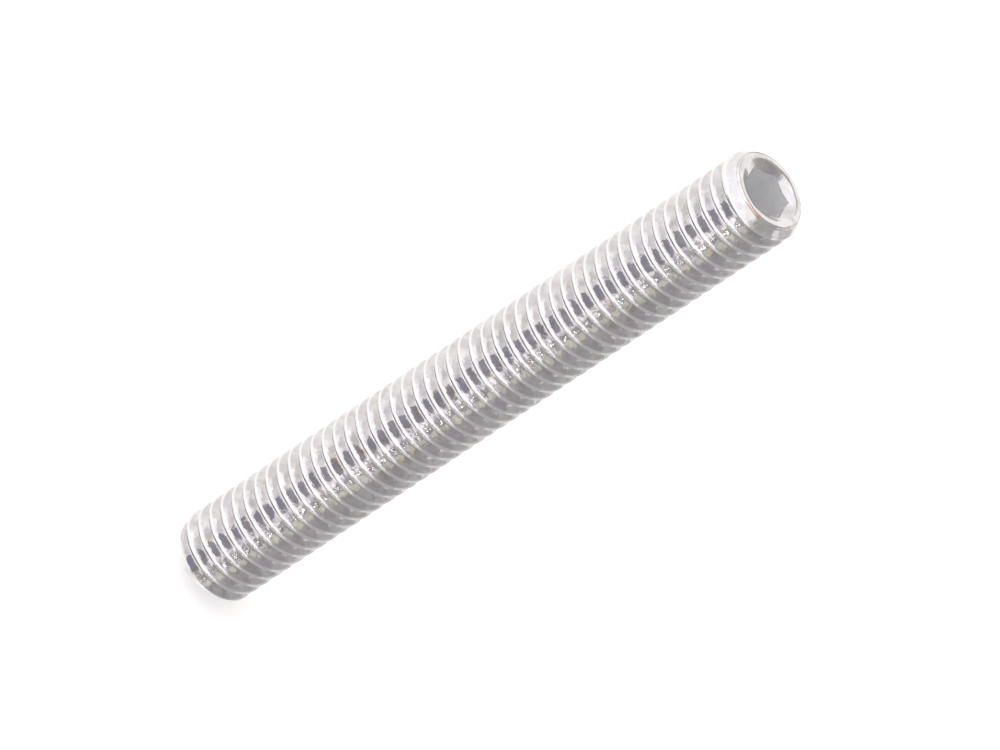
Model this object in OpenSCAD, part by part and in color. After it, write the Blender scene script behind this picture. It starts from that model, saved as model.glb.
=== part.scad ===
// Socket set screw, also called a grub screw: a headless steel screw with a thread over its whole
// length, a hexagon socket in one end and a cup point on the other.
//
// Frame: the screw stands on the rim of its cup point. The origin is the centre of that rim, and
// +Z runs along the axis to the socket end. Millimetres.

/* [Thread] */
// Nominal diameter of the thread
thread_d = 6; // [5.6:0.1:7.4]
// Distance from one turn of the thread to the next
pitch = 1; // [0.8:0.02:1.25]
// How far the whole thread is below its nominal diameter, so that it runs freely in a nut
allowance = 0.1; // [0:0.02:0.2]
// Angle between the two flanks of a groove
flank_angle = 60; // [55:1:62]
// Width of the flat on a crest, as a share of the pitch
crest_share = 0.125; // [0.1:0.005:0.15]
// Width of the flat at the bottom of a groove, as a share of the pitch
root_share = 0.167; // [0.125:0.001:0.25]
// Turn of the thread about the axis
thread_turn = 0; // [0:1:359]
// How far below the socket end the groove has run out to nothing
runout_gap = 0.55; // [0.4:0.05:1.5]
// How far round the screw it takes to run out, in degrees
runout_angle = 160; // [90:10:360]

/* [Body] */
// Length over both ends
screw_len = 50; // [30:1:60]
// Outer diameter of the cup point's rim
cup_d = 3; // [2.4:0.1:3.6]
// Width of the flat rim around the cup
cup_rim = 0.1; // [0.05:0.01:0.3]
// Full angle of the cup
cup_angle = 90; // [80:1:130]
// Angle of the point's chamfer from the axis
point_angle = 45; // [35:1:50]
// Height of the socket end's chamfer across the axis, down from the crests
end_chamfer_h = 0.43; // [0.3:0.01:0.6]
// Angle of the socket end's chamfer from the axis
end_angle = 30; // [25:1:45]
// Depth of the crease between that chamfer and the lip of the socket's mouth
crease_depth = 0.06; // [0.02:0.01:0.1]
// Width of the crease
crease_w = 0.14; // [0.06:0.01:0.2]

/* [Socket] */
// Width across the flats of the hexagon, which is the size of its key
hex_af = 3; // [2.4:0.1:3.2]
// Depth of the hexagon below the end face
hex_depth = 3.5; // [2.5:0.1:6]
// How far the countersink at the mouth reaches outside the hexagon's corners
mouth_lip = 0.33; // [0.1:0.01:0.35]
// Full angle of the countersink
mouth_angle = 120; // [80:5:130]
// Radius that rounds the edge between the countersink and the end face
mouth_round = 0.2; // [0.05:0.05:0.3]
// Full angle of the drilled hollow under the hexagon
drill_angle = 118; // [100:1:140]

/* [Hidden] */

STEEL = [0.80, 0.79, 0.81];

// Everything turned is a true circle, and one turn of the thread has this many flat steps.
ROUND = 96;
STEPS = 24;
// Flat steps in the rounded edge of the mouth.
ROUND_STEPS = 4;
// How far a cut reaches past the face that it opens, so that no skin is left there.
PAST = 0.1;

// The thread's outline is a V of flank_angle with flats on its crests and in its grooves.
crest_r = (thread_d - allowance) / 2;
groove_h = pitch * (1 - crest_share - root_share) / 2 / tan(flank_angle / 2);
root_r = crest_r - groove_h;

// Its flanks are drawn on to a sharp edge, and the crests' flats are what is left of the turned bar.
flank_len = pitch * (1 - root_share) / 2;
edge_r = root_r + flank_len / tan(flank_angle / 2);
RIDGE = [
  [root_r, 0],
  [root_r, pitch * root_share],
  [edge_r, pitch * root_share + flank_len],
];
CORNERS = len(RIDGE);

// The thread starts a turn below the point, so that it is whole where it meets the chamfer there,
// and ends a turn above the socket end.
turns = ceil(screw_len / pitch) + 2;
LAST = turns * CORNERS;

// The turn at which the groove's middle is runout_gap below the socket end, and the one at which it
// starts to run out.
runout_end = (screw_len - runout_gap) / pitch + 1 - root_share / 2;
runout_start = runout_end - runout_angle / 360;

// How far the groove has lifted at a turn. It goes on to twice its depth, clear of the bar.
function lift(turn) =
  groove_h * max(0, min(2, (turn - runout_start) / (runout_end - runout_start)));

point_chamfer_len = (crest_r - cup_d / 2) / tan(point_angle);
cup_r = cup_d / 2 - cup_rim;
cup_depth = cup_r / tan(cup_angle / 2);
end_r = crest_r - end_chamfer_h;
end_chamfer_len = end_chamfer_h / tan(end_angle);
hex_corner_r = hex_af / 2 / cos(30);
mouth_r = hex_corner_r + mouth_lip;
mouth_depth = mouth_r / tan(mouth_angle / 2);
// The rounded edge starts this far outside the mouth, and turns through this angle.
mouth_turn = 90 - mouth_angle / 2;
mouth_reach = mouth_round * tan(mouth_turn / 2);
drill_depth = hex_af / 2 / tan(drill_angle / 2);

// Corner c of the ridge's outline, counted up the screw, at step s of its turn. The thread is
// right-handed: it climbs as it turns anticlockwise, seen from the socket end. Where the groove
// runs out, its corners lift away from the axis, and the ridge's edge goes to where the flanks of
// the grooves on both sides of it meet, so that each flank keeps its angle.
function ridge_point(s, c) =
  let (
    a = 360 * s / STEPS,
    turn = floor(c / CORNERS) + s / STEPS,
    q = RIDGE[c % CORNERS],
    on_edge = c % CORNERS == CORNERS - 1,
    below = lift(turn),
    above = lift(turn + 1),
    r = q[0] + (on_edge ? (below + above) / 2 : below),
    shift = on_edge ? (above - below) / 2 * tan(flank_angle / 2) : 0
  )
  [r * cos(a), r * sin(a), q[1] + shift + (turn - 1) * pitch];

// That corner's place in the list of points, which holds one column for each step, from the lowest
// corner to corner LAST. A whole turn on, corner c is corner c + CORNERS of the first column, and
// those of them that are above LAST follow after the columns.
function at(s, c) =
  s < STEPS ? s * (LAST + 1) + c
  : c + CORNERS <= LAST ? c + CORNERS
  : STEPS * (LAST + 1) + c + CORNERS - LAST - 1;

// A threaded rod with open ends, its flanks and grooves in flat steps, closed by a fan of
// triangles round the axis at each end.
module threaded_rod() {
  columns = [for (s = [0 : STEPS - 1]) for (c = [0 : LAST]) ridge_point(s, c)];
  above = [for (c = [LAST + 1 : LAST + CORNERS]) ridge_point(0, c)];
  hubs = [[0, 0, -pitch / 2], [0, 0, (turns - 0.5) * pitch]];
  low_hub = len(columns) + len(above);
  high_hub = low_hub + 1;
  sides = [
    for (s = [0 : STEPS - 1]) for (c = [0 : LAST - 1])
      each [[at(s, c), at(s, c + 1), at(s + 1, c + 1)], [at(s, c), at(s + 1, c + 1), at(s + 1, c)]]
  ];
  low_end = [
    for (s = [0 : STEPS - 1]) [low_hub, at(s, 0), at(s + 1, 0)],
    for (c = [0 : CORNERS - 1]) [low_hub, c + 1, c],
  ];
  high_end = [
    for (s = [0 : STEPS - 1]) [high_hub, at(s + 1, LAST), at(s, LAST)],
    for (c = [LAST - CORNERS : LAST - 1]) [high_hub, at(STEPS, c), at(STEPS, c + 1)],
  ];
  polyhedron(concat(columns, above, hubs), concat(sides, low_end, high_end));
}

// The bar as turned: the cup point with its flat rim, both chamfers, and the crests' diameter.
module turned_bar() {
  rotate_extrude($fn = ROUND)
    polygon([
      [0, cup_depth],
      [cup_r, 0],
      [cup_d / 2, 0],
      [crest_r, point_chamfer_len],
      [crest_r, screw_len - end_chamfer_len],
      [end_r, screw_len],
      [end_r - crease_w / 2, screw_len - crease_depth],
      [end_r - crease_w, screw_len],
      [0, screw_len],
    ]);
}

// The rounded edge of the mouth, a degrees round from the end face.
function mouth_edge(a) =
  [mouth_r + mouth_reach - mouth_round * sin(a), screw_len - mouth_round * (1 - cos(a))];

// What the socket takes out: the hexagon, the countersink at its mouth and the drill's cone below.
module socket() {
  translate([0, 0, screw_len - hex_depth])
    cylinder(r = hex_corner_r, h = hex_depth + PAST, $fn = 6);
  rotate_extrude($fn = ROUND)
    polygon([
      [0, screw_len - mouth_depth],
      each [for (i = [ROUND_STEPS : -1 : 0]) mouth_edge(mouth_turn * i / ROUND_STEPS)],
      [mouth_r + mouth_reach, screw_len + PAST],
      [0, screw_len + PAST],
    ]);
  rotate_extrude($fn = ROUND)
    polygon([
      [0, screw_len - hex_depth - drill_depth],
      [hex_af / 2, screw_len - hex_depth],
      [0, screw_len - hex_depth],
    ]);
}

module set_screw() {
  color(STEEL)
    difference() {
      intersection() {
        turned_bar();
        rotate([0, 0, thread_turn]) threaded_rod();
      }
      socket();
    }
}

set_screw();
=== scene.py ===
# %% [markdown]
# # A socket set screw, M6 x 50
#
# A set screw, or grub screw, is a headless length of threaded steel. A key in the hexagon socket
# at one end drives it into a tapped hole, until the cup on its other end bites into a shaft. This
# one is plated with bright zinc. We follow its maker: roll the thread, turn the ends, broach the
# socket, and plate it last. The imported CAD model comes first, because it says how big the screw
# is.

from math import atan2, cos, hypot, pi, radians, sin, tan

import bmesh
import bpy
from mathutils import Matrix, Vector


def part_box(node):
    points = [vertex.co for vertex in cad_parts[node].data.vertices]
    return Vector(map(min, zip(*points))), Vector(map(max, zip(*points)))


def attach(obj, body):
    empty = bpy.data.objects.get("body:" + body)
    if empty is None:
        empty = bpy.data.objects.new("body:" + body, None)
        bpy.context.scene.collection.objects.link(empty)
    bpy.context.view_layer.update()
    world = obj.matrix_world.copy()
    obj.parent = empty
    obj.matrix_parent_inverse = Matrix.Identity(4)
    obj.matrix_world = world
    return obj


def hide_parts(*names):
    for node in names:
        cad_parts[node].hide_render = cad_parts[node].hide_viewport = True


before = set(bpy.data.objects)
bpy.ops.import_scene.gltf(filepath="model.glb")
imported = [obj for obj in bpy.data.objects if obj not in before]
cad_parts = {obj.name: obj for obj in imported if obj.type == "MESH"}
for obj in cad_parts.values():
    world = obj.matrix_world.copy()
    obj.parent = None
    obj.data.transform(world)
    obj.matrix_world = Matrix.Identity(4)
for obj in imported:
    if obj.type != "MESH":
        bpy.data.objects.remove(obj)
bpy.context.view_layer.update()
MM = 0.001  # metres in a millimetre
far_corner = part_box("set_screw")[1]
crest_r = far_corner.x / MM
screw_len = far_corner.z / MM
print(f"packed screw: {2 * crest_r:.2f} mm across its crests and {screw_len:.2f} mm long")

# %% [markdown]
# ## Outlines
#
# Each form starts as an outline in the X-Z plane: a few corners, some of them rounded by a vertex
# bevel, as the nose of a lathe tool would. Blender merges and cuts best near a size of 1, so
# everything is drawn in millimetres, and goes to metres at the very end.

# %% Draw an outline
HOLD = 0.05  # a straight gets a point this far from each end, so that its shading stays flat


def outline(corners):
    """A line through corners, each given as (radius, height), or as (radius, height, cut,
    segments) where it is rounded from that far along both of its sides."""
    bm = bmesh.new()
    points = [bm.verts.new((corner[0], 0, corner[1])) for corner in corners]
    for a, b in zip(points, points[1:]):
        bm.edges.new((a, b))
    for point, corner in reversed(list(zip(points, corners))):
        if len(corner) > 2:
            bmesh.ops.bevel(
                bm, geom=[point], affect="VERTICES", offset_type="OFFSET", offset=corner[2],
                segments=corner[3], profile=0.5, material=-1,
            )
    for straight in [e for e in bm.edges if e.calc_length() > 4 * HOLD]:
        for end in straight.verts:
            bmesh.utils.edge_split(straight, end, HOLD / straight.calc_length())
    return bm


# %% [markdown]
# ## The thread
#
# The groove of a metric thread is a V of 60 degrees. A rolling die leaves its bottom round, and
# the metal that it squeezes up makes a round crest. So one turn needs only three rounded corners.
# The Screw modifier could sweep them, but spin with a lift at each step does the same and stays
# open to cuts. One turn is swept, then doubled six times, which is far quicker than sweeping
# every turn.

# %% Roll the thread
pitch = 1.0
flank = radians(60) / 2  # from the plane across the axis
crest_w = 0.19  # width of a crest before its corners are rounded
crest_z = 0.5835  # height of a crest's middle at azimuth 0, over a whole number of turns
groove_h = 0.58  # depth of a groove
STEPS = 84  # flat steps in one turn
MIDDLE = 0.507  # how far a bevel's middle stands off a 60 degree corner, as a share of its cut
SAME = 1e-5  # points closer than this are merged, in millimetres
NEAR = 1e-4  # and this is near enough for the ends of two turns to join

root_r = crest_r - groove_h
apex_r = crest_r - (pitch - crest_w) / 2 / tan(flank)
root_cut = (root_r - apex_r) / MIDDLE
crest_cut = 0.48 * crest_w  # almost half, so that a narrow land is left between the two

thread = outline([
    (crest_r, crest_z - pitch),
    (crest_r, crest_z - pitch + crest_w / 2, crest_cut, 4),
    (apex_r, crest_z - pitch / 2, root_cut, 4),
    (crest_r, crest_z - crest_w / 2, crest_cut, 4),
    (crest_r, crest_z),
])
bmesh.ops.spin(
    thread, geom=thread.verts[:] + thread.edges[:], cent=(0, 0, 0), axis=(0, 0, 1),
    dvec=(0, 0, pitch / STEPS), angle=2 * pi, steps=STEPS, use_merge=False,
)
turns = 1
while turns < screw_len / pitch + 2:
    again = bmesh.ops.duplicate(thread, geom=thread.verts[:] + thread.edges[:] + thread.faces[:])
    copied = [g for g in again["geom"] if isinstance(g, bmesh.types.BMVert)]
    bmesh.ops.translate(thread, verts=copied, vec=(0, 0, turns * pitch))
    turns *= 2
bmesh.ops.translate(thread, verts=thread.verts, vec=(0, 0, -pitch))
bmesh.ops.remove_doubles(thread, verts=thread.verts, dist=NEAR)
print(f"thread: {turns} turns, {len(thread.faces)} faces")

# %% [markdown]
# ## Where the groove ends
#
# The socket's chamfer is smooth, because the groove has run out before it gets there: over less
# than half a turn the die lifts out of the steel. No operator lifts a groove along a helix, so
# each point is moved straight out from the axis, by more the nearer its turn of groove is to the
# end, and stops level with the crests.

# %% Run the groove out
runout_z = screw_len - 0.55  # height of the groove's middle where nothing is left of it
runout_len = pitch * 160 / 360  # it starts to run out this far below, 160 degrees round
groove_z = crest_z - pitch / 2

lifted = 0
for point in thread.verts:
    x, y, z = point.co
    share = atan2(y, x) / (2 * pi)
    turn_no = round((z - groove_z) / pitch - share)
    middle = groove_z + (turn_no + share) * pitch
    lift = (crest_r - root_r) * (middle - runout_z + runout_len) / runout_len
    radius = hypot(x, y)
    if lift > 0 and radius < crest_r:
        wider = min(radius + lift, crest_r) / radius
        point.co = (x * wider, y * wider, z)
        lifted += 1
print(f"run-out: {lifted} points lifted")

# %% [markdown]
# ## Cut to length
#
# The swept turns are longer than the screw. A plane cuts them a little past each end, and the cut
# is filled, which makes the thread a closed rod. Each solid is measured as it is kept: an edge
# without exactly two faces is an open one, and a cut later on would fail there.

# %% Keep a solid
def shown(bm, name):
    """The bmesh as an object in the scene."""
    mesh = bpy.data.meshes.new(name)
    bm.to_mesh(mesh)
    bm.free()
    made = bpy.data.objects.new(name, mesh)
    bpy.context.scene.collection.objects.link(made)
    return made


def solid(bm, name):
    """The same, with a word on whether it is closed."""
    gaps = sum(not e.is_manifold for e in bm.edges)
    print(f"{name}: {len(bm.faces)} faces, {gaps} open edges, {bm.calc_volume():.1f} mm3")
    return shown(bm, name)


# %% Cut the rod to length
SPARE = 0.25  # how far a form reaches past the end that it makes or opens
for cut_z, way in ((-SPARE, -1), (screw_len + SPARE, 1)):
    bmesh.ops.bisect_plane(
        thread, geom=thread.verts[:] + thread.edges[:] + thread.faces[:], dist=SAME,
        plane_co=(0, 0, cut_z), plane_no=(0, 0, way), clear_outer=True,
    )
    rim = [e for e in thread.edges if all(abs(v.co.z - cut_z) < NEAR for v in e.verts)]
    bmesh.ops.edgeloop_fill(thread, edges=rim)
bmesh.ops.recalc_face_normals(thread, faces=thread.faces)
rod = solid(thread, "rod")

# %% [markdown]
# ## The turned blank
#
# Both ends are turned: a cup point with a 45 degree chamfer, and a long 30 degree chamfer at the
# socket. Pressing the socket raises a round lip at its mouth, and a fine crease is left where the
# lip meets the chamfer. The blank is an outline turned once round by spin. It is wider than the
# crests between its chamfers, so that only its ends cut the rod.

# %% Turn an outline
def turn(bm, steps):
    """Turns an outline once round Z and closes it, with its faces outwards."""
    bmesh.ops.spin(
        bm, geom=bm.verts[:] + bm.edges[:], cent=(0, 0, 0), axis=(0, 0, 1), angle=2 * pi,
        steps=steps, use_merge=True,
    )
    bmesh.ops.remove_doubles(bm, verts=bm.verts, dist=SAME)
    bmesh.ops.recalc_face_normals(bm, faces=bm.faces)


# %% Turn the blank
cup_r = cup_depth = 1.4
point_r = 1.5
end_r = 2.52
end_slope = tan(radians(30))  # what the end chamfer takes off the radius in a millimetre of height
crease_r, crease_depth = 2.51, 0.13
lip_h = 0.09  # height of the lip's top over the end of the chamfer
lip_r = 2.45
mouth_r = 2.12
sink = tan(radians(30))  # slope of a 120 degree countersink
wide = crest_r + 0.15

blank = outline([
    (0, cup_depth),
    (cup_r, 0, 0.02, 2),
    (point_r, 0, 0.05, 3),
    (wide, wide - point_r),
    (wide, screw_len - (wide - end_r) / end_slope),
    (end_r + lip_h * end_slope, screw_len - lip_h, 0.02, 2),
    (crease_r, screw_len - crease_depth, 0.025, 2),
    (lip_r, screw_len, 0.08, 4),
    (mouth_r, screw_len, 0.10, 4),
    (0, screw_len - mouth_r * sink),
])
turn(blank, steps=144)
blank = solid(blank, "blank")

# %% [markdown]
# ## The socket
#
# The hexagon is broached straight down through a countersink, which leaves a scallop on each
# flat. Its floor is the cone of the drill that went before it. Both tools are made as solids: the
# broach is a hexagon pulled down, and the drill's tip is an outline turned like the blank.

# %% Make the broach and the drill
hex_af = 3.0  # across the flats
hex_depth = 3.5
drill_r = hex_af / 2
drill_tip = radians(118)
OVERLAP = 0.1  # the drill's tip starts this far up inside the hexagon

broach = bmesh.new()
corner_to_x = Matrix.Rotation(radians(30), 4, "Z")
bmesh.ops.create_circle(
    broach, cap_ends=True, segments=6, radius=hex_af / 2 / cos(radians(30)),
    matrix=Matrix.Translation((0, 0, screw_len + SPARE)) @ corner_to_x,
)
pulled = bmesh.ops.extrude_face_region(broach, geom=broach.faces[:])
bmesh.ops.translate(
    broach, verts=[g for g in pulled["geom"] if isinstance(g, bmesh.types.BMVert)],
    vec=(0, 0, -hex_depth - SPARE),
)
bmesh.ops.recalc_face_normals(broach, faces=broach.faces)
broach = solid(broach, "broach")

hex_floor = screw_len - hex_depth
drill = outline([
    (0, hex_floor + OVERLAP),
    (drill_r, hex_floor + OVERLAP),
    (drill_r, hex_floor),
    (0, hex_floor - drill_r / tan(drill_tip / 2)),
])
turn(drill, steps=96)
drill = solid(drill, "drill")

# %% [markdown]
# ## Cut the screw from its parts
#
# Booleans do here what the lathe and the broach do. The manifold solver is quick on so many faces
# and leaves a closed solid.

# %% Cut the ends and the socket
def cut(body, tool, operation):
    """Cuts body with tool, and takes the tool away."""
    blade = body.modifiers.new(tool.name, "BOOLEAN")
    blade.object, blade.operation, blade.solver = tool, operation, "MANIFOLD"
    result = body.evaluated_get(bpy.context.evaluated_depsgraph_get())
    shaped = bpy.data.meshes.new_from_object(result)
    body.modifiers.clear()
    body.data = shaped
    bpy.data.objects.remove(tool)
    print(f"{operation.lower()} leaves {len(shaped.polygons)} faces")


cut(rod, blank, "INTERSECT")
cut(rod, broach, "DIFFERENCE")
cut(rod, drill, "DIFFERENCE")

# %% [markdown]
# ## The finished screw
#
# The cut rod becomes the screw, in metres. It is shaded smooth, with hard edges where two faces
# meet at more than 28 degrees. The Weighted Normal modifier then lets large faces lead over small
# ones: flats stay flat, and only the thin roundings between them turn the light. The two calls at
# the end put the screw with the root body and hide the imported part.

# %% Finish the screw
screw = bmesh.new()
screw.from_mesh(rod.data)
bpy.data.objects.remove(rod)
bmesh.ops.remove_doubles(screw, verts=screw.verts, dist=SAME)
screw = solid(screw, "screw")
screw.data.transform(Matrix.Scale(MM, 4))
screw.data.shade_smooth()
screw.data.set_sharp_from_angle(angle=radians(28))
flats_first = screw.modifiers.new("flats_first", "WEIGHTED_NORMAL")
flats_first.weight = 90
flats_first.keep_sharp = True
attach(screw, "root")
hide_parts("set_screw")

# %% [markdown]
# ## A finish in nodes
#
# A finish is a tree of nodes that works out a colour, a roughness and a relief for each point. It
# can be wired by hand in the shader editor. In a script, a few small helpers wire it in a line
# each. The first two add a node of any kind and do one sum.

# %% Helpers for nodes
def add(tree, kind, values=(), **settings):
    """A new node. values maps an input's place or name to a number, a colour or a link."""
    made = tree.nodes.new("ShaderNode" + kind)
    for name, value in settings.items():
        setattr(made, name, value)
    for place, value in dict(values).items():
        if isinstance(value, bpy.types.NodeSocket):
            tree.links.new(value, made.inputs[place])
        else:
            made.inputs[place].default_value = value
    return made


def work_out(tree, operation, *values):
    """One sum, on numbers or links."""
    return add(tree, "Math", enumerate(values), operation=operation).outputs[0]


# %% [markdown]
# ## Marks on the plate
#
# Zinc plate is a mirror with a fine skin. Rolling leaves streaks along the flanks, and the plate
# lies in low lumps and dimples. Each of these is a noise on object coordinates, which stay put on
# the screw. The streaks follow the flanks because their noise changes quickly with the distance
# from the axis, and slowly along and round it.

# %% Find each point's place and its marks
zinc = bpy.data.materials.new("bright_zinc")
zinc.use_nodes = True
tree = zinc.node_tree
shader = tree.nodes["Principled BSDF"]
shader.inputs["Metallic"].default_value = 1

place = add(tree, "TexCoord").outputs["Object"]
in_mm = add(tree, "VectorMath", {0: place, 3: 1 / MM}, operation="SCALE").outputs[0]
z_mm = add(tree, "SeparateXYZ", {0: in_mm}).outputs["Z"]
off_axis = add(tree, "VectorMath", {0: in_mm, 1: (1, 1, 0)}, operation="MULTIPLY").outputs[0]
radius = add(tree, "VectorMath", {0: off_axis}, operation="LENGTH").outputs["Value"]


def noise_of(per_mm, detail, rough=0.5):
    """Soft noise with about this many spots to a millimetre."""
    look = {"Vector": in_mm, "Scale": per_mm, "Detail": detail, "Roughness": rough}
    return add(tree, "TexNoise", look).outputs["Fac"]


STREAKS_ALONG, STREAKS_OUT = 0.35, 14  # changes in a millimetre, along or round, and outwards
slowly = add(tree, "VectorMath", {0: in_mm, 3: STREAKS_ALONG}, operation="SCALE").outputs[0]
quickly = work_out(tree, "MULTIPLY", radius, STREAKS_OUT)
look = {"Vector": slowly, "W": quickly, "Scale": 1, "Detail": 2}
streaks = add(tree, "TexNoise", look, noise_dimensions="4D").outputs["Fac"]
dimples = noise_of(per_mm=4.5, detail=2)
lumps = noise_of(per_mm=1.4, detail=1)
print(f"marks on the plate: {len(tree.nodes)} nodes")

# %% [markdown]
# ## The plate's colour
#
# A trace of passivation tints the plate here blue, there pale. On it lie a thin grey haze and, in
# a few places, a straw film. Crests are rubbed bright by other screws in the box. These are soft
# masks, laid over each other in the order in which they came to be on the screw.

# %% Helpers for soft masks and mixed colours
def spread(tree, value, low_in, high_in, low_out=0.0, high_out=1.0):
    """Stretches a value between two limits, with a soft start and end."""
    limits = {"From Min": low_in, "From Max": high_in, "To Min": low_out, "To Max": high_out}
    made = add(tree, "MapRange", {"Value": value, **limits}, interpolation_type="SMOOTHSTEP")
    return made.outputs["Result"]


def blend(tree, share, low_colour, high_colour):
    """Mixes two colours, each a tuple or a link, by a share from 0 to 1."""
    made = add(tree, "Mix", {0: share, 6: low_colour, 7: high_colour}, data_type="RGBA")
    return made.outputs[2]


# %% Tint the plate
BLUISH, PALE = (0.78, 0.76, 0.79, 1), (0.88, 0.86, 0.86, 1)
GREY_HAZE = (0.73, 0.715, 0.705, 1)
STRAW = (0.78, 0.70, 0.60, 1)
RUBBED = (0.90, 0.89, 0.90, 1)

tint = spread(tree, noise_of(per_mm=1.2, detail=2), 0.42, 0.58)
haze = spread(tree, noise_of(per_mm=0.9, detail=3, rough=0.6), 0.48, 0.66)
film = spread(tree, noise_of(per_mm=0.8, detail=2), 0.64, 0.76)  # in a few places only
worn = spread(tree, radius, crest_r - 0.12, crest_r - 0.03)
plate = blend(tree, tint, BLUISH, PALE)
plate = blend(tree, haze, plate, GREY_HAZE)
plate = blend(tree, film, plate, STRAW)
plate = blend(tree, worn, plate, RUBBED)
print(f"with its tints: {len(tree.nodes)} nodes")

# %% [markdown]
# ## A painted reflection in the crease
#
# A short orange-brown line is painted in the crease under the lip: a painted reflection. It is
# where two masks overlap: close to the crease's radius, and close to one point on the screw's
# edge.

# %% Paint a reflection in the crease
# painted reflection: an orange-brown colour laid in the crease stands in for reflected light
REFLECTION_BROWN = (0.66, 0.44, 0.28, 1)
reflection_way = radians(235)
reflection_spot = (crease_r * cos(reflection_way), crease_r * sin(reflection_way), screw_len)
from_reflection_spot = add(tree, "VectorMath", {0: in_mm, 1: reflection_spot}, operation="DISTANCE").outputs["Value"]
from_crease = work_out(tree, "ABSOLUTE", work_out(tree, "SUBTRACT", radius, crease_r))
in_crease = spread(tree, from_crease, 0.08, 0.02)  # nothing from 0.08 mm on, whole within 0.02
by_reflection_spot = spread(tree, from_reflection_spot, 0.9, 0.4)
painted_reflection = work_out(tree, "MULTIPLY", in_crease, by_reflection_spot)
# the painted reflection goes over the plate here
plate = blend(tree, painted_reflection, plate, REFLECTION_BROWN)
print(f"drop: at {reflection_spot[0]:.2f}, {reflection_spot[1]:.2f}, {reflection_spot[2]:.2f} mm")

# %% [markdown]
# ## Inside the socket
#
# Plate hardly gets into a deep socket. Its walls are rough and mirror nothing, and their colour is
# painted lighter than unplated steel, as light as the plate: painted light in the shaded socket.
# The mask takes what is close to the axis and under the cone of the countersink, and only in the
# screw's upper half, because the cup at the point is close to the axis too.

# %% Mask the socket and paint light on its walls
# painted light: a colour lighter than unplated steel brightens the socket's shaded walls
BARE_PAINTED_LIGHT = (0.96, 0.96, 0.965, 1)
BARE_R = 1.80  # just past the hexagon's corners
UNDER = 0.03  # the mask starts this far under the cone

cone_z = work_out(tree, "MULTIPLY_ADD", radius, sink, screw_len - mouth_r * sink - UNDER)
under_cone = work_out(tree, "LESS_THAN", z_mm, cone_z)
near_axis = work_out(tree, "LESS_THAN", radius, BARE_R)
upper_half = work_out(tree, "GREATER_THAN", z_mm, screw_len / 2)
bare_and_painted_light = work_out(tree, "MULTIPLY", work_out(tree, "MULTIPLY", near_axis, under_cone), upper_half)
plate = blend(tree, bare_and_painted_light, plate, BARE_PAINTED_LIGHT)
tree.links.new(plate, shader.inputs["Base Color"])
print(f"bare out to {BARE_R:.2f} mm from the axis")

# %% [markdown]
# ## Shine and relief
#
# The plate is almost a mirror, a little duller in its streaks and where it is hazy. The marks are
# too shallow to model, so a Bump node leans the surface by their heights, given here in
# millimetres.

# %% A helper for mixed numbers
def between(tree, share, low_number, high_number):
    """Mixes two numbers, each plain or a link, by a share from 0 to 1."""
    return add(tree, "Mix", {0: share, 2: low_number, 3: high_number}).outputs[0]


# %% Polish the plate and raise its marks
ROUGH_LOW, ROUGH_HIGH = 0.03, 0.08  # of clean plate, from streak to streak
ROUGH_HAZE, ROUGH_RUBBED, ROUGH_BARE = 0.10, 0.07, 0.62
DIMPLE_H, LUMP_H, STREAK_H = 0.010, 0.045, 0.004

rough = spread(tree, streaks, 0.35, 0.65, ROUGH_LOW, ROUGH_HIGH)
rough = between(tree, haze, rough, ROUGH_HAZE)
rough = between(tree, worn, rough, ROUGH_RUBBED)
rough = between(tree, bare_and_painted_light, rough, ROUGH_BARE)
tree.links.new(rough, shader.inputs["Roughness"])

raised = work_out(tree, "MULTIPLY", dimples, DIMPLE_H)
raised = work_out(tree, "MULTIPLY_ADD", lumps, LUMP_H, raised)
raised = work_out(tree, "MULTIPLY_ADD", streaks, STREAK_H, raised)
relief = add(tree, "Bump", {"Height": raised, "Distance": MM, "Strength": 1}).outputs["Normal"]
tree.links.new(relief, shader.inputs["Normal"])
screw.data.materials.append(zinc)
print(f"bright zinc: {len(tree.nodes)} nodes")

# %% [markdown]
# ## The floor
#
# A sheet of white paper, lit like the screw, which keeps its shadow. A little glow lifts it to a
# clean white. Light Path gives the glow only to rays from the camera and to those that a mirror
# or glass sends on, so it doesn't light the screw. For this screw the paper is then switched off
# for mirrors altogether: by way of two flanks the camera sees what is low in front, and dark
# things there make it look like metal, where white paper would not.

# %% Lay the floor
REACH = 3  # metres from the middle to each side
GLOW = 0.42

paper = bpy.data.materials.new("paper")
paper.use_nodes = True
tree = paper.node_tree
shader = tree.nodes["Principled BSDF"]
shader.inputs["Base Color"].default_value = (0.9, 0.9, 0.89, 1)
shader.inputs["Roughness"].default_value = 0.9
shader.inputs["Specular IOR Level"].default_value = 0
rays = add(tree, "LightPath").outputs
seen = work_out(tree, "MAXIMUM", rays["Is Camera Ray"], rays["Is Glossy Ray"])
seen = work_out(tree, "MAXIMUM", seen, rays["Is Transmission Ray"])
glow = work_out(tree, "MULTIPLY", seen, GLOW)
shader.inputs["Emission Color"].default_value = (1, 1, 1, 1)
tree.links.new(glow, shader.inputs["Emission Strength"])

floor = bmesh.new()
bmesh.ops.create_grid(floor, x_segments=1, y_segments=1, size=REACH)
floor = shown(floor, "floor")
floor.data.materials.append(paper)
floor.visible_glossy = False
print(f"floor: {2 * REACH} m square")

# %% [markdown]
# ## The light
#
# Polished metal shows its room, so the room is what we light. Lamps and cards could stand round
# the screw, but a painted world gives soft shapes of any size without noise. It is a pale room,
# brightest on the left and overhead. The wall on the right is dark, and the one behind is pale
# again. Low in front are a few dark things, an olive one, a white card and one tiny lamp, which
# the camera sees by way of two flanks: they make the dark bars and the sparkle along the screw.

# %% A direction and a patch of the room
FACE = 224.4  # the camera's side of the screw, in degrees from +X

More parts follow.
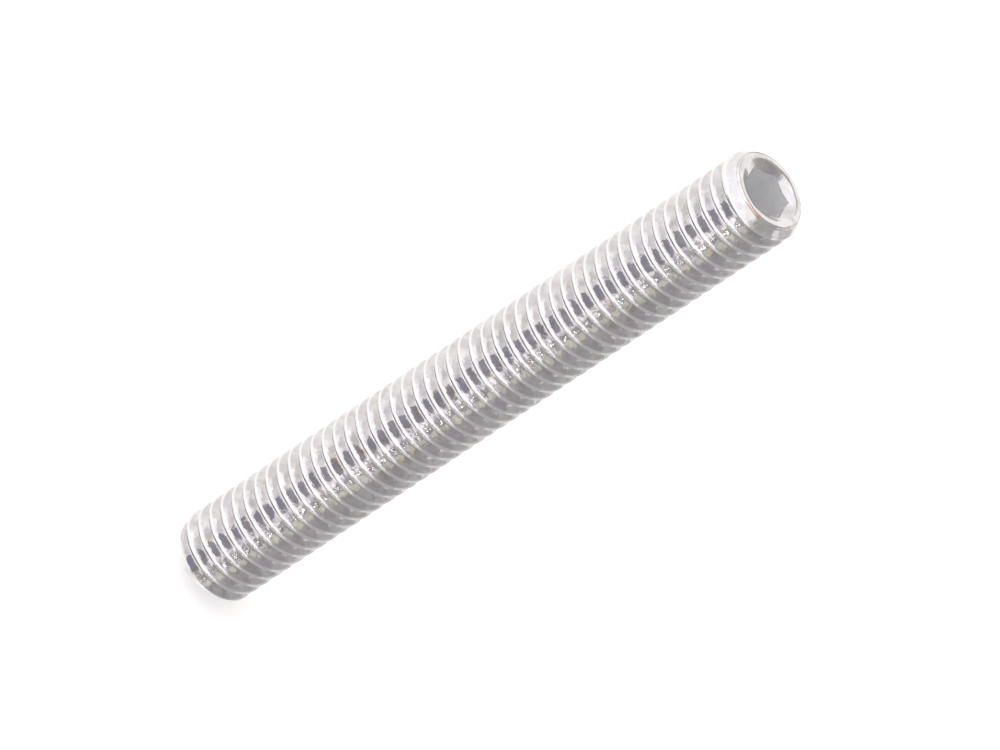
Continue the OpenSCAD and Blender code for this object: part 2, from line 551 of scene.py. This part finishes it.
world = bpy.data.worlds.new("studio")
bpy.context.scene.world = world
world.use_nodes = True
tree = world.node_tree
gaze = add(tree, "TexCoord").outputs["Generated"]


def toward(side, height):
    """A direction from the screw: side degrees round from the camera, height degrees up."""
    round_z, up = radians(FACE + side), radians(height)
    return Vector((cos(up) * cos(round_z), cos(up) * sin(round_z), sin(up)))


def patch(under, side, height, inner, outer, colour):
    """A round patch of the room over what is under it, whole as far as inner degrees from its
    middle, and gone at outer degrees."""
    facing = add(tree, "VectorMath", {0: gaze, 1: toward(side, height)}, operation="DOT_PRODUCT")
    share = spread(tree, facing.outputs["Value"], cos(radians(outer)), cos(radians(inner)))
    return blend(tree, share, under, (*colour, 1))


# %% Paint the room
room = (1.08, 1.06, 1.045, 1)
patches = [  # for each: its side, height, inner and outer degrees, and colour
    (-50, 40, 35, 60, (1.18, 1.16, 1.18)),  # the bright wall on the left
    (15, 56, 20, 36, (1.17, 1.15, 1.17)),  # the bright ceiling over the camera
    (-128, 28, 6, 26, (0.90, 0.875, 0.87)),  # a dimmer corner at the back, on the left
    (126, 4, 76, 90, (0.45, 0.44, 0.44)),  # the dark wall on the right
    (135, -10, 33, 41, (0.63, 0.61, 0.61)),  # a greyer part of it
    (180, 10, 26, 44, (1.03, 1.0, 0.98)),  # the pale wall at the back
    (180, -30, 24, 40, (1.03, 1.0, 0.98)),  # the same wall, down to the ground
    (-70, -80, 24, 45, (0.08, 0.075, 0.08)),  # black ground
    (105, 58, 6, 20, (0.36, 0.345, 0.355)),  # a dark shelf, high on the right
    (-68, -14, 8, 22, (0.92, 0.91, 0.90)),  # a dimmer spot, low on the left
    (28, -6, 15, 24, (0.50, 0.485, 0.48)),  # a grey stand in front
    (8, -37, 14, 21, (0.66, 0.64, 0.68)),  # its foot
    (46, -15, 7, 12, (0.78, 0.80, 0.66)),  # an olive cloth
    (-24, -26, 19, 24, (0.38, 0.37, 0.41)),  # a dark box
    (10, -18, 4.5, 8, (1.45, 1.43, 1.45)),  # a white card
    (28, -21, 6, 10, (0.39, 0.375, 0.37)),  # the dark shade of the lamp
    (102, 4, 5, 8, (0.90, 0.88, 0.87)),  # a pale card on the dark wall
    (26, -21, 1.0, 2.2, (7, 7, 7)),  # the tiny lamp
]
for side, height, inner, outer, colour in patches:
    room = patch(room, side, height, inner, outer, colour)
print(f"room: {len(patches)} patches")

# %% [markdown]
# ## A white background
#
# What the camera sees past the screw is plain white. The Light Path node tells the camera's own
# rays from all others, so this white lights nothing and isn't mirrored.

# %% Show the camera white
direct = add(tree, "LightPath").outputs["Is Camera Ray"]
background = blend(tree, direct, room, (1, 1, 1, 1))
tree.links.new(background, tree.nodes["Background"].inputs["Color"])
print(f"studio: {len(tree.nodes)} nodes")

# %% [markdown]
# ## The camera
#
# A long lens from well back keeps the pitch of the thread even from end to end. The camera looks
# down on the socket, and is rolled until the standing screw lies aslant in view. Its three axes
# are worked out from that tilt and roll, which is plainer than finding its Euler angles.

# %% Set up the camera
tilt, roll = radians(36.53), radians(33.506)
distance = 1.4323  # metres, as are the next three
aim_up, aim_right, aim_down = 0.026143, 0.000257, 0.000178  # close to the screw's middle

camera = bpy.data.objects.new("camera", bpy.data.cameras.new("camera"))
bpy.context.scene.collection.objects.link(camera)
bpy.context.scene.camera = camera
camera.data.sensor_width = 36
camera.data.lens = 876
up, front, across = Vector((0, 0, 1)), toward(0, 0), toward(90, 0)
right = up * cos(tilt) * cos(roll) - front * sin(tilt) * cos(roll) + across * sin(roll)
down = -up * cos(tilt) * sin(roll) + front * sin(tilt) * sin(roll) + across * cos(roll)
ahead = -up * sin(tilt) - front * cos(tilt)
aim = up * aim_up + right * aim_right + down * aim_down
camera.matrix_world = Matrix((right, -down, -ahead)).transposed().to_4x4()
camera.matrix_world.translation = aim - ahead * distance
bpy.context.scene.view_settings.view_transform = "Standard"
print(f"camera: {camera.data.lens:.0f} mm lens, {distance:.2f} m away")

# %% [markdown]
# ## Last step
#
# The finished screw has to be the imported one's size. At the end the view layer is brought up
# to date.

# %% Finish
bpy.context.view_layer.update()
